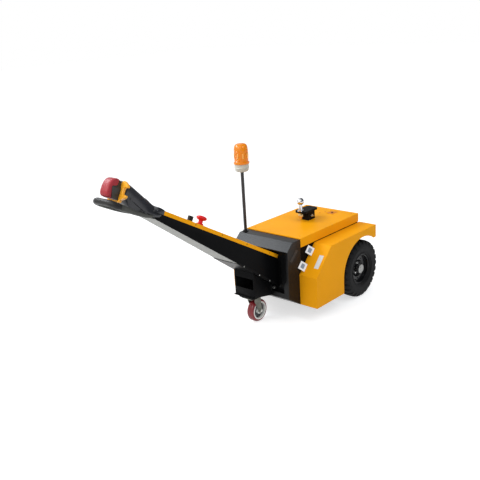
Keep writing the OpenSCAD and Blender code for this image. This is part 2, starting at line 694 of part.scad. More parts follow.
// A thumb wing: its outline across (x) and up (n), pushed along the head
throttle_points = [
    [neck_r + seat_gap, -10], [neck_r + seat_gap, 10], [40, 44], [56, 47], [60, 30], [50, 8],
    [50, -8], [60, -30], [56, -47], [40, -44]];

module throttle() in_head()
    translate([0, -throttle_u + 8, button_n]) rotate([90, 0, 0]) linear_extrude(16) polygon(throttle_points);

module throttle_left() color("#f5a310") on_side(-1) throttle();
module throttle_right() color("#f5a310") on_side(1) throttle();

// A piece that stands square on the boom's yellow strip, at y
module on_strip(y)
    translate([0, y, boom_top(y) + seat_gap + sheet]) rotate([-boom_top_a, 0, 0]) translate([0, 0, seat_gap]) children();

module emergency_stop() color("#d8232a")
    on_strip(-1176) rotate_extrude($fn = 64)
        polygon([[0, 0], [22, 0], [22, 14], [13, 18], [13, 34], [26, 38], [32, 46], [30, 54], [18, 60], [0, 61]]);

module key_housing() color("#1a1a1c")
    on_strip(-1252) cylinder(r = 16, h = 36, $fn = 48);

place() chassis();
place() rear_panel();
place() top_cover();
place() front_housing();
place() battery();
place() transaxle();
place() drive_motor();
place() fender_left();
place() fender_right();
place() latch_plates_left();
place() latch_plates_right();
place() nose_box();
place() nose_cradle();
place() boom_bolt();
place() castor_plate();
place() castor_fork();
place() castor_axle();
place() castor_rim();
place() castor_tread();
place() tyre_left();
place() rim_left();
place() hub_left();
place() tyre_right();
place() rim_right();
place() hub_right();
place() hitch_block();
place() hitch_plate();
place() tow_ball();
place() beacon_pole();
place() beacon_base();
place() beacon_lens();
place() boom_sides();
place() boom_strip();
place() boom_underplate();
place() head_shell();
place() head_grip_left();
place() head_grip_right();
place() head_collar();
place() belly_button();
place() throttle_left();
place() throttle_right();
place() emergency_stop();
place() key_housing();
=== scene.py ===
import math

import bmesh
import bpy
from mathutils import Matrix, Vector


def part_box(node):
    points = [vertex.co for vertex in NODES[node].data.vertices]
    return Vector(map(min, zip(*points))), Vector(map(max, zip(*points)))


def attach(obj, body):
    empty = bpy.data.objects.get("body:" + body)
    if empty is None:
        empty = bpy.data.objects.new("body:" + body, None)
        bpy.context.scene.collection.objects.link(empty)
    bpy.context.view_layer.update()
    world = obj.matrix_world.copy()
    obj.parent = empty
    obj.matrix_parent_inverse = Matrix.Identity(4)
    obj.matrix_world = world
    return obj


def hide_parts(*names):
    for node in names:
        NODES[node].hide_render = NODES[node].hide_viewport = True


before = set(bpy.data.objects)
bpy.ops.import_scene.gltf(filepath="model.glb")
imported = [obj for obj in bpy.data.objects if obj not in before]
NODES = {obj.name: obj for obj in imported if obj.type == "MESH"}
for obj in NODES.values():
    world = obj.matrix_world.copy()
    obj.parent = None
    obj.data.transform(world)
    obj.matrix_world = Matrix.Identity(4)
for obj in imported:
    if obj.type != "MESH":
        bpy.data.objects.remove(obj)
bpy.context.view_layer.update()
scene = bpy.context.scene

# Pieces are placed in millimetres in the axle's frame: y = 0 at the drive axle,
# z = 0 on the floor, -y towards the control head. The tyre's box gives the axle.
t_lo, t_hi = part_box("tyre_right")
AXLE_Y = (t_lo.y + t_hi.y) / 2


def W(p):
    return Vector((p[0] / 1000, AXLE_Y + p[1] / 1000, p[2] / 1000))


def deg(a):
    return math.radians(a)


# camera
YAW, PITCH, ROLL, FOCAL = 0.7518141, 0.3162466, -0.0630222, 682.35
cam_data = bpy.data.cameras.new("camera")
cam = bpy.data.objects.new("camera", cam_data)
scene.collection.objects.link(cam)
fw = Vector((-math.sin(YAW) * math.cos(PITCH), math.cos(YAW) * math.cos(PITCH), -math.sin(PITCH)))
right = fw.cross(Vector((0, 0, 1))).normalized()
up = right.cross(fw)
cx = math.cos(ROLL) * right + math.sin(ROLL) * up
cy = -math.sin(ROLL) * right + math.cos(ROLL) * up
cam.matrix_world = Matrix.Translation(W((2743.6, -3774.3, 1903.5))) @ Matrix((cx, cy, -fw)).transposed().to_4x4()
cam_data.sensor_width = 36
cam_data.lens = FOCAL / 480 * 36
cam_data.clip_end = 60
scene.camera = cam


# materials
def new_mat(name):
    m = bpy.data.materials.new(name)
    m.use_nodes = True
    nt = m.node_tree
    return m, nt, nt.nodes["Principled BSDF"]


def node(nt, kind, **values):
    n = nt.nodes.new(kind)
    for key, v in values.items():
        if hasattr(n, key):
            setattr(n, key, v)
        else:
            n.inputs[key.replace("_", " ")].default_value = v
    return n


def finish_mat(name, colour, rough=0.4, metal=0.0, vary=0.12, vary_scale=6.0, bump=0.0, bump_scale=300.0,
               rough_vary=0.08, coat=0.0, wear=None, wear_amount=0.0, ior=1.5, dust=0.0, spec=0.5):
    """Base colour with slow variation, roughness with finer variation, a fine surface bump and worn edges."""
    m, nt, b = new_mat(name)
    link = nt.links.new
    tc = node(nt, "ShaderNodeTexCoord")
    slow = node(nt, "ShaderNodeTexNoise", Scale=vary_scale, Detail=5.0)
    link(tc.outputs["Object"], slow.inputs["Vector"])
    ramp = node(nt, "ShaderNodeValToRGB")
    ramp.color_ramp.elements[0].position = 0.3
    ramp.color_ramp.elements[1].position = 0.7
    dark = [c * (1 - vary) for c in colour] + [1]
    light = [min(1, c * (1 + vary)) for c in colour] + [1]
    ramp.color_ramp.elements[0].color = dark
    ramp.color_ramp.elements[1].color = light
    link(slow.outputs["Fac"], ramp.inputs["Fac"])
    colour_out = ramp.outputs["Color"]
    fine = node(nt, "ShaderNodeTexNoise", Scale=bump_scale, Detail=4.0)
    link(tc.outputs["Object"], fine.inputs["Vector"])
    if wear is not None and wear_amount > 0:
        geo = node(nt, "ShaderNodeNewGeometry")
        edge = node(nt, "ShaderNodeValToRGB")
        edge.color_ramp.elements[0].position = 0.54
        edge.color_ramp.elements[1].position = 0.62
        link(geo.outputs["Pointiness"], edge.inputs["Fac"])
        patch = node(nt, "ShaderNodeTexNoise", Scale=40.0, Detail=6.0)
        link(tc.outputs["Object"], patch.inputs["Vector"])
        times = node(nt, "ShaderNodeMath", operation="MULTIPLY")
        link(edge.outputs["Color"], times.inputs[0])
        link(patch.outputs["Fac"], times.inputs[1])
        scale = node(nt, "ShaderNodeMath", operation="MULTIPLY")
        scale.inputs[1].default_value = wear_amount
        link(times.outputs[0], scale.inputs[0])
        mix = node(nt, "ShaderNodeMix", data_type="RGBA")
        mix.inputs[7].default_value = list(wear) + [1]
        link(scale.outputs[0], mix.inputs[0])
        link(colour_out, mix.inputs[6])
        colour_out = mix.outputs[2]
    if dust > 0:
        geo2 = node(nt, "ShaderNodeNewGeometry")
        sep = node(nt, "ShaderNodeSeparateXYZ")
        link(geo2.outputs["Normal"], sep.inputs[0])
        up_ramp = node(nt, "ShaderNodeMapRange")
        up_ramp.inputs[1].default_value = 0.2
        up_ramp.inputs[2].default_value = 1.0
        up_ramp.inputs[4].default_value = dust
        link(sep.outputs["Z"], up_ramp.inputs[0])
        mix = node(nt, "ShaderNodeMix", data_type="RGBA")
        mix.inputs[7].default_value = (0.32, 0.30, 0.27, 1)
        link(up_ramp.outputs[0], mix.inputs[0])
        link(colour_out, mix.inputs[6])
        colour_out = mix.outputs[2]
    link(colour_out, b.inputs["Base Color"])
    rr = node(nt, "ShaderNodeMapRange")
    rr.inputs[3].default_value = max(0.02, rough - rough_vary)
    rr.inputs[4].default_value = min(1.0, rough + rough_vary)
    link(fine.outputs["Fac"], rr.inputs[0])
    link(rr.outputs[0], b.inputs["Roughness"])
    b.inputs["Metallic"].default_value = metal
    b.inputs["IOR"].default_value = ior
    b.inputs["Specular IOR Level"].default_value = spec
    if coat:
        b.inputs["Coat Weight"].default_value = coat
        b.inputs["Coat Roughness"].default_value = 0.12
    if bump:
        bm = node(nt, "ShaderNodeBump", Strength=bump, Distance=0.0006)
        link(fine.outputs["Fac"], bm.inputs["Height"])
        link(bm.outputs["Normal"], b.inputs["Normal"])
    return m


M = {
    "yellow": finish_mat("yellow_powder_coat", (0.88, 0.365, 0.006), rough=0.34, vary=0.05, vary_scale=3, bump=0.08,
                         bump_scale=900, spec=0.035, wear=(0.60, 0.25, 0.01), wear_amount=0.4),
    "black": finish_mat("black_powder_coat", (0.0035, 0.0035, 0.0038), rough=0.30, vary=0.2, vary_scale=4, bump=0.10,
                        bump_scale=800, wear=(0.05, 0.05, 0.05), wear_amount=0.5, spec=0.03),
    "housing": finish_mat("housing_powder_coat", (0.0045, 0.0045, 0.005), rough=0.30, vary=0.2, vary_scale=4, bump=0.10,
                          bump_scale=800, wear=(0.06, 0.06, 0.06), wear_amount=0.5, spec=0.19),
    # near-black for the head's vents: painted shade of their openings
    "vent_shade": finish_mat("black_painted_shade", (0.008, 0.008, 0.008), rough=0.6, vary=0.2, bump=0.1),
    "black_tube": finish_mat("black_tube", (0.010, 0.010, 0.011), rough=0.22, vary=0.2, bump=0.05),
    "black_rim": finish_mat("black_gloss_rim", (0.008, 0.008, 0.009), rough=0.22, vary=0.25, bump=0.08, spec=0.25),
    "grey": finish_mat("grey_primer", (0.30, 0.30, 0.275), rough=0.55, vary=0.08, vary_scale=8, bump=0.15),
    "cast": finish_mat("dark_casting", (0.05, 0.05, 0.055), rough=0.6, metal=0.3, vary=0.25, vary_scale=20, bump=0.5,
                       bump_scale=220),
    "zinc": finish_mat("zinc_plated", (0.60, 0.60, 0.57), rough=0.30, metal=1.0, vary=0.15, vary_scale=25, bump=0.12,
                       bump_scale=500),
    "zinc_fork": finish_mat("zinc_fork", (0.17, 0.17, 0.145), rough=0.42, metal=0.8, vary=0.18, vary_scale=25,
                            bump=0.15, bump_scale=500),
    "chrome": finish_mat("chrome", (0.62, 0.63, 0.65), rough=0.07, metal=1.0, vary=0.02, bump=0.02, rough_vary=0.03),
    "core": finish_mat("castor_core", (0.74, 0.74, 0.70), rough=0.35, metal=0.3, vary=0.12, bump=0.15),
    "tread": finish_mat("castor_tread", (0.20, 0.010, 0.016), rough=0.32, vary=0.15, vary_scale=15, bump=0.12,
                        bump_scale=400),
    "rubber": finish_mat("tyre_rubber", (0.008, 0.008, 0.0085), rough=0.62, vary=0.3, vary_scale=12, bump=0.35,
                         bump_scale=350, dust=0.01, spec=0.15),
    "case": finish_mat("battery_case", (0.03, 0.03, 0.033), rough=0.5, vary=0.1, bump=0.2),
    "head": finish_mat("head_plastic", (0.014, 0.015, 0.019), rough=0.25, vary=0.12, vary_scale=10, bump=0.06,
                       bump_scale=600),
    # grey plastic of the loop's arms, also used for the lighter patch on the head's tail, which is a painted highlight
    "grip": finish_mat("grip_plastic_and_painted_highlight", (0.050, 0.052, 0.045), rough=0.42, vary=0.1, vary_scale=10, bump=0.12,
                       bump_scale=600, spec=0.3),
    "collar": finish_mat("collar_plastic", (0.020, 0.020, 0.018), rough=0.45, vary=0.1, bump=0.15, bump_scale=600),
    # a darker copy of the zinc for the hub caps: painted shade, so that they show less of the bright floor they reflect
    "hub": finish_mat("hub_zinc_painted_shade", (0.30, 0.30, 0.29), rough=0.34, metal=0.9, vary=0.15, vary_scale=40, bump=0.12),
    "latch": finish_mat("latch_zinc", (0.88, 0.89, 0.90), rough=0.4, metal=0.0, vary=0.05, vary_scale=30, bump=0.06),
    "inset": finish_mat("latch_inset", (0.30, 0.36, 0.44), rough=0.4, metal=0.3, vary=0.15, vary_scale=60, bump=0.1),
    # a darker copy of the yellow: painted shade on the lock's floor, and also the lid screws' colour
    "darker_yellow": finish_mat("darker_yellow_painted_shade", (0.66, 0.20, 0.005), rough=0.5, vary=0.06, bump=0.08),
    "brass": finish_mat("yellow_zinc", (0.72, 0.50, 0.22), rough=0.25, metal=1.0, vary=0.1, vary_scale=40, bump=0.05),
    "bars": finish_mat("lens_bars", (0.95, 0.62, 0.16), rough=0.25, vary=0.05, bump=0.03),
    "plastic": finish_mat("black_plastic", (0.010, 0.010, 0.010), rough=0.45, vary=0.2, bump=0.2, bump_scale=500,
                          spec=0.25),
    "thumb": finish_mat("yellow_plastic", (0.90, 0.40, 0.02), rough=0.32, vary=0.06, bump=0.05),
    "red": finish_mat("red_plastic", (0.66, 0.012, 0.018), rough=0.38, vary=0.06, bump=0.04, spec=0.3),
    "rose": finish_mat("rose_button", (0.31, 0.018, 0.028), rough=0.45, vary=0.10, vary_scale=14, bump=0.15,
                       bump_scale=350, spec=0.35),
    "grey_plastic": finish_mat("grey_plastic", (0.50, 0.49, 0.43), rough=0.4, vary=0.05, bump=0.08),
    "label": finish_mat("blank_label", (0.70, 0.71, 0.70), rough=0.45, vary=0.04, bump=0.03),
    "dark_label": finish_mat("dark_plate", (0.035, 0.035, 0.036), rough=0.35, metal=0.5, vary=0.2, bump=0.1),
}


def lens_mat():
    m, nt, b = new_mat("amber_lens")
    tc = node(nt, "ShaderNodeTexCoord")
    n = node(nt, "ShaderNodeTexNoise", Scale=30.0, Detail=3.0)
    nt.links.new(tc.outputs["Object"], n.inputs["Vector"])
    ramp = node(nt, "ShaderNodeValToRGB")
    ramp.color_ramp.elements[0].color = (0.80, 0.24, 0.004, 1)
    ramp.color_ramp.elements[1].color = (0.90, 0.32, 0.010, 1)
    nt.links.new(n.outputs["Fac"], ramp.inputs["Fac"])
    nt.links.new(ramp.outputs["Color"], b.inputs["Base Color"])
    b.inputs["Roughness"].default_value = 0.12
    b.inputs["Transmission Weight"].default_value = 0.35
    b.inputs["IOR"].default_value = 1.45
    b.inputs["Emission Color"].default_value = (1.0, 0.30, 0.01, 1)
    b.inputs["Emission Strength"].default_value = 0.03
    return m


M["amber"] = lens_mat()


# mesh helpers
def link_mesh(name, mesh, mat, body, slot=None, replaces=(), smooth=35, bevel=0.0, subsurf=0):
    o = bpy.data.objects.new(name, mesh)
    scene.collection.objects.link(o)
    mesh.materials.append(mat)
    if smooth:
        mesh.shade_smooth()
        mesh.set_sharp_from_angle(angle=deg(smooth))
    if bevel:
        b = o.modifiers.new("edge", "BEVEL")
        b.width = bevel / 1000
        b.segments = 2
        b.limit_method = "ANGLE"
        b.angle_limit = deg(28)
    if subsurf:
        s = o.modifiers.new("subd", "SUBSURF")
        s.levels = s.render_levels = subsurf
    if replaces:
        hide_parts(*replaces)
    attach(o, body)
    return o


def from_bm(name, bm, mat, body, **kw):
    bmesh.ops.remove_doubles(bm, verts=bm.verts, dist=1e-6)
    bmesh.ops.recalc_face_normals(bm, faces=bm.faces)
    mesh = bpy.data.meshes.new(name)
    bm.to_mesh(mesh)
    bm.free()
    return link_mesh(name, mesh, mat, body, **kw)


def ring_loft(bm, rings, close=False, cap=True):
    """Joins rings of equally many points; close joins the last ring to the first."""
    vs = [[bm.verts.new(W(p)) for p in r] for r in rings]
    n = len(rings[0])
    pairs = list(zip(vs, vs[1:])) + ([(vs[-1], vs[0])] if close else [])
    for a, b in pairs:
        for i in range(n):
            j = (i + 1) % n
            if (a[i].co - a[j].co).length < 1e-7 and (b[i].co - b[j].co).length < 1e-7:
                continue
            bm.faces.new((a[i], a[j], b[j], b[i]))
    if cap and not close:
        bm.faces.new(vs[0][::-1])
        bm.faces.new(vs[-1])
    return vs


def basis(axis):
    a = Vector(axis).normalized()
    helper = Vector((0, 0, 1)) if abs(a.z) < 0.9 else Vector((0, 1, 0))
    e1 = a.cross(helper).normalized()
    return a, e1, a.cross(e1)


def lathe_bm(bm, origin, axis, profile, seg=64, turn=0.0, closed=True):
    """profile: (distance along the axis, radius). Points with radius 0 close the ends."""
    a, e1, e2 = basis(axis)
    o = Vector(origin)
    rings = []
    for t, r in profile:
        rings.append([o + a * t + (e1 * math.cos(turn + 2 * math.pi * i / seg)
                                   + e2 * math.sin(turn + 2 * math.pi * i / seg)) * max(r, 1e-4) for i in range(seg)])
    ring_loft(bm, rings, close=closed, cap=not closed)


def lathe(name, origin, axis, profile, mat, body, seg=64, closed=False, turn=0.0, **kw):
    bm = bmesh.new()
    lathe_bm(bm, origin, axis, profile, seg, turn, closed)
    return from_bm(name, bm, mat, body, **kw)


def box_bm(bm, lo, hi):
    c = [(x, y, z) for x in (lo[0], hi[0]) for y in (lo[1], hi[1]) for z in (lo[2], hi[2])]
    v = [bm.verts.new(W(p)) for p in c]
    for f in ((0, 1, 3, 2), (4, 6, 7, 5), (0, 4, 5, 1), (2, 3, 7, 6), (0, 2, 6, 4), (1, 5, 7, 3)):
        bm.faces.new([v[i] for i in f])


def prism_bm(bm, points, place, d0, d1):
    """points in 2-D, place(a, b, d) gives the 3-D point in millimetres."""
    ring_loft(bm, [[place(a, b, d0) for a, b in points], [place(a, b, d1) for a, b in points]])


def tube_bm(bm, path, radius, seg=16, closed=False, squash=1.0, normal=None):
    """A tube along a path of points; squash flattens it along normal."""
    pts = [Vector(p) for p in path]
    rings = []
    n = len(pts)
    prev = None
    for i, p in enumerate(pts):
        a = pts[(i - 1) % n] if (closed or i > 0) else pts[i]
        b = pts[(i + 1) % n] if (closed or i < n - 1) else pts[i]
        t = (b - a).normalized()
        if normal is not None:
            e2 = (Vector(normal) - t * t.dot(Vector(normal))).normalized()
            e1 = t.cross(e2)
        else:
            e1 = prev - t * t.dot(prev) if prev is not None else basis(t)[1]
            e1.normalize()
            e2 = t.cross(e1)
        prev = e1
        r = radius[i] if isinstance(radius, (list, tuple)) else radius
        rings.append([p + e1 * math.cos(2 * math.pi * k / seg) * r + e2 * math.sin(2 * math.pi * k / seg) * r * squash
                      for k in range(seg)])
    ring_loft(bm, rings, close=closed, cap=not closed)


def bolt_bm(bm, at, axis, r, h, washer=0.0, sides=6, turn=0.0):
    """A hexagon head with a chamfer, on a washer."""
    if washer:
        lathe_bm(bm, at, axis, [(0, 0), (0, washer), (1.6, washer), (1.6, 0)], 32, closed=False)
    b = 1.6 if washer else 0.0
    lathe_bm(bm, at, axis, [(b, 0), (b, r), (b + h * 0.8, r), (b + h, r * 0.86), (b + h, 0)], sides, turn, closed=False)


def pan_bm(bm, at, axis, r, h=2.2, seg=20):
    """A low pan head screw with a dimple."""
    lathe_bm(bm, at, axis, [(-0.5, 0), (-0.5, r), (h * 0.5, r), (h * 0.9, r * 0.75), (h, r * 0.4), (h * 0.4, r * 0.38),
                            (h * 0.4, 0)], seg, closed=False)


# CAD nodes: finish and soft edges
def edge_group():
    g = bpy.data.node_groups.new("tidy_edges", "GeometryNodeTree")
    g.interface.new_socket("Geometry", in_out="INPUT", socket_type="NodeSocketGeometry")
    g.interface.new_socket("Geometry", in_out="OUTPUT", socket_type="NodeSocketGeometry")
    i, o = g.nodes.new("NodeGroupInput"), g.nodes.new("NodeGroupOutput")
    merge = g.nodes.new("GeometryNodeMergeByDistance")
    merge.inputs["Distance"].default_value = 0.00001
    face = g.nodes.new("GeometryNodeSetShadeSmooth")
    face.domain = "FACE"
    sharp = g.nodes.new("GeometryNodeSetShadeSmooth")
    sharp.domain = "EDGE"
    angle = g.nodes.new("GeometryNodeInputMeshEdgeAngle")
    over = g.nodes.new("FunctionNodeCompare")
    over.data_type = "FLOAT"
    over.operation = "GREATER_THAN"
    over.inputs[1].default_value = deg(26)
    face.inputs["Shade Smooth"].default_value = True
    sharp.inputs["Shade Smooth"].default_value = False
    link = g.links.new
    link(i.outputs[0], merge.inputs["Geometry"])
    link(merge.outputs[0], face.inputs["Geometry"])
    link(face.outputs[0], sharp.inputs["Geometry"])
    link(angle.outputs["Unsigned Angle"], over.inputs[0])
    link(over.outputs[0], sharp.inputs["Selection"])
    link(sharp.outputs[0], o.inputs[0])
    return g


EDGES = edge_group()


def dress(name, mat, bevel=0.9):
    o = NODES[name]
    o.data.materials.clear()
    o.data.materials.append(mat)
    a = o.data.attributes.get("custom_normal")
    if a is not None:
        o.data.attributes.remove(a)
    m = o.modifiers.new("tidy", "NODES")
    m.node_group = EDGES
    if bevel:
        b = o.modifiers.new("edge", "BEVEL")
        b.width = bevel / 1000
        b.segments = 2
        b.limit_method = "ANGLE"
        b.angle_limit = deg(30)
        b.use_clamp_overlap = True


for names, key, bevel in [
    (("chassis", "nose_box", "nose_cradle", "boom_sides"), "black", 1.2), (("front_housing",), "housing", 1.2),
    (("rear_panel", "top_cover", "fender_left", "fender_right", "boom_strip"), "yellow", 1.2),
    (("battery",), "case", 2.0), (("transaxle", "drive_motor"), "cast", 0.8),
    (("boom_bolt", "castor_axle"), "zinc", 0.6), (("hub_left", "hub_right"), "black_rim", 0.6),
    (("latch_plates_left", "latch_plates_right"), "latch", 0.6),
    (("castor_plate", "castor_fork"), "zinc_fork", 0.8), (("castor_rim",), "core", 0.6),
    (("castor_tread",), "tread", 0.0), (("hitch_block", "hitch_plate"), "black", 1.0),
    (("tow_ball",), "chrome", 0.0), (("beacon_pole",), "black_tube", 0.6), (("beacon_base",), "grey_plastic", 0.6),
    (("boom_underplate",), "grey", 0.8), (("head_collar", "key_housing"), "plastic", 1.2),
    (("belly_button",), "rose", 0.0), (("throttle_left", "throttle_right"), "thumb", 1.5),
    (("emergency_stop",), "red", 0.0), (("head_grip_left", "head_grip_right"), "head", 0.0),
    (("head_shell",), "head", 0.0), (("tyre_left", "tyre_right"), "rubber", 0.0),
    (("rim_left", "rim_right"), "black_rim", 0.8), (("beacon_lens",), "amber", 0.0),
]:
    for n in names:
        dress(n, M[key], bevel)


# drive wheels
def tyre(side, body):
    """A block tyre: a rounded carcass with staggered lugs that wrap over the shoulder."""
    R, mid, h = 200.0, 302.0, 50.0
    bm = bmesh.new()
    prof = [(-36, 102), (-43, 106), (-46, 112), (-48.5, 128), (-49.5, 148), (-48, 164), (-45, 176), (-40, 185),
            (-30, 190.5), (-14, 192.5), (0, 193), (14, 192.5), (30, 190.5), (40, 185), (45, 176), (48, 164),
            (49.5, 148), (48.5, 128), (46, 112), (43, 106), (36, 102)]
    lathe_bm(bm, (side * mid, 0, R), (side, 0, 0), prof, 96, closed=True)
    count = 26
    # a lug's outline over the crown: (across, radius of its top) from the middle to the shoulder
    line = [(3, 200.0), (16, 200.0), (30, 198.6), (40, 194.0), (46, 184.0), (49.2, 170.0)]
    foot = [(3, 192.0), (16, 191.4), (30, 189.5), (38, 184.5), (43, 177.0), (46.5, 168.0)]
    for s in (-1, 1):
        for k in range(count):
            a0 = 2 * math.pi * (k + (0.5 if s > 0 else 0)) / count
            rings = []
            for (w, rt), (wf, rf) in zip(line, foot):
                lean = (w - 3) / 46 * 0.10
                half = 0.075 - 0.010 * (w / 49)
                pts = []
                for ww, rr, aa in ((wf, rf, -half - 0.012), (w, rt, -half), (w, rt, half), (wf, rf, half + 0.012)):
                    ang = a0 + lean + aa
                    pts.append((side * (mid + s * ww), rr * math.cos(ang), R + rr * math.sin(ang)))
                rings.append(pts)
            ring_loft(bm, rings)
    name = "tyre_left_block_tread" if side < 0 else "tyre_right_block_tread"
    node_name = "tyre_left" if side < 0 else "tyre_right"
    from_bm(name, bm, M["rubber"], body, slot="tyre_rubber", replaces=(node_name,), smooth=32)
    # moulded rings on the side wall
    bm = bmesh.new()
    for r, d in ((118, 1.0), (156, 0.6)):
        x = side * (mid + 48.2)
        path = [(x, r * math.cos(a), R + r * math.sin(a)) for a in [2 * math.pi * i / 96 for i in range(96)]]
        tube_bm(bm, path, 1.6 + d, 8, closed=True)
    from_bm(name.replace("block_tread", "side_rings"), bm, M["rubber"], body, slot="tyre_rubber")


def wheel_trim(side, body):
    """Nuts on the hub flange and the clamp bolts of the split rim."""
    tag = "left" if side < 0 else "right"
    bm = bmesh.new()
    for k in range(5):
        a = 2 * math.pi * k / 5 + 0.35
        at = (side * 297.5, 34 * math.cos(a), 200 + 34 * math.sin(a))
        bolt_bm(bm, at, (side, 0, 0), 6.5, 8, washer=8.5, turn=a)
    from_bm(f"wheel_nuts_{tag}", bm, M["zinc"], body, slot="zinc_plate")
    bm = bmesh.new()
    for k in range(5):
        a = 2 * math.pi * k / 5 + 0.95
        at = (side * 306.5, 72 * math.cos(a), 200 + 72 * math.sin(a))
        bolt_bm(bm, at, (side, 0, 0), 5.5, 6, washer=8.0, turn=a)
    from_bm(f"rim_clamp_bolts_{tag}", bm, M["black_rim"], body, slot="black_rim")


for side, body in ((-1, "drive_wheel_left"), (1, "drive_wheel_right")):
    tyre(side, body)
    wheel_trim(side, body)

def mm_box(name):
    """A node's lowest and highest corners in millimetres, in the axle's frame."""
    lo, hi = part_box(name)
    return [Vector((c.x * 1000, (c.y - AXLE_Y) * 1000, c.z * 1000)) for c in (lo, hi)]


# Hub caps, seen in the middle of each rim
HUB_CAP_R = 31.0
HUB_CAP_X = 340.0


def hub_cap(side, body):
    tag = "left" if side < 0 else "right"
    # the cap is in the darker zinc copy, painted shade
    lathe(f"hub_cap_{tag}", (side * 318, 0, 200), (side, 0, 0),
          [(0, 0), (0, HUB_CAP_R - 4), (HUB_CAP_X - 322, HUB_CAP_R - 3), (HUB_CAP_X - 321, HUB_CAP_R),
           (HUB_CAP_X - 318.5, HUB_CAP_R), (HUB_CAP_X - 318, HUB_CAP_R - 2), (HUB_CAP_X - 320, HUB_CAP_R - 6),
           (HUB_CAP_X - 320, 15), (HUB_CAP_X - 318, 12), (HUB_CAP_X - 318, 0)],
          M["hub"], body, slot="zinc_plate")
    bm = bmesh.new()
    a = 4.1
    path = [(side * (306 + t), (88 - 0.3 * t) * math.cos(a), 200 + (88 - 0.3 * t) * math.sin(a)) for t in range(0, 25, 4)]
    tube_bm(bm, path, [4.5, 4.5, 4.0, 3.2, 3.0, 3.4, 3.4], 14)
    from_bm(f"valve_{tag}", bm, M["rubber"], body, slot="tyre_rubber")


hub_cap(-1, "drive_wheel_left")
hub_cap(1, "drive_wheel_right")

# The control head's own frame, as in the part: x across, u up along the head, n square to it
HEAD_A = deg(30)
HEAD_Y, HEAD_Z = -1529.568, 896.211
MID_N = 84.0
BARREL_R, BARREL_U = 56.0, 262.0
COLLAR_U, COLLAR_HW = 282.3, 38.3
BUTTON_HW, BUTTON_SEAT_U, BUTTON_U = 33.0, 306.3, 350.0
LOW_N, HIGH_N = 28.0, 137.0
STRIP_N = 66.4


def H(x, u, n):
    return (x, HEAD_Y - u * math.cos(HEAD_A) + n * math.sin(HEAD_A), HEAD_Z + u * math.sin(HEAD_A) + n * math.cos(HEAD_A))


def between(table, t):
    """Reads a value off a table of (t, value) pairs, with straight lines between them."""
    for (t0, v0), (t1, v1) in zip(table, table[1:]):
        if t <= t1:
            return v0 + (v1 - v0) * (t - t0) / (t1 - t0)
    return table[-1][1]


RIDGE_N = [(4, 75), (44, 81), (74, 91), (130, 108), (196, 127), (240, 138), (262, 140)]
HOOD_HW = [(4, 79), (20, 79), (60, 70), (100, 62), (150, 58), (262, 56)]
CREASE_N = [(4, 34), (34, 24), (81, 18), (224, 65), (250, 80), (262, 84)]
SKIRT_N = [(4, 26), (34, 14), (81, 10), (205, 12), (236, 23), (262, 28)]
ROUNDNESS = [(4, 0), (205, 0), (245, 1), (262, 1)]


def hood_section(u, shrink=0.0):
    """The head's outline at u: a domed hood down to its crease, and an inset side panel under it."""
    hw, top = between(HOOD_HW, u) - shrink, between(RIDGE_N, u) - shrink
    crease, low, f = between(CREASE_N, u), between(SKIRT_N, u) + shrink, between(ROUNDNESS, u)
    half = []
    for k in range(11):
        a = math.pi / 2 * k / 10
        half.append((hw * math.cos(a) ** 0.86, crease + (top - crease) * math.sin(a) ** 0.94))
    high = crease - low
    inset = min(7.0, high * 0.4)
    panel = [(hw - 1.0, crease - min(2.5, high * 0.2)), (hw - inset, crease - min(4.5, high * 0.4)),
             (hw - inset - 0.5, low + high * 0.5), (hw - inset - 1, low + min(4.0, high * 0.3)), (hw - 13, low),
             (hw * 0.5, low)]
    lower = []
    for k, (px, pn) in enumerate(panel):
        a = -math.pi / 2 * (k + 1) / 7
        lower.append((px + (hw * math.cos(a) - px) * f, pn + (MID_N + (BARREL_R - shrink) * math.sin(a) - pn) * f))
    right = lower[::-1] + half
    return right + [(-x, n) for x, n in right[::-1]][1:]


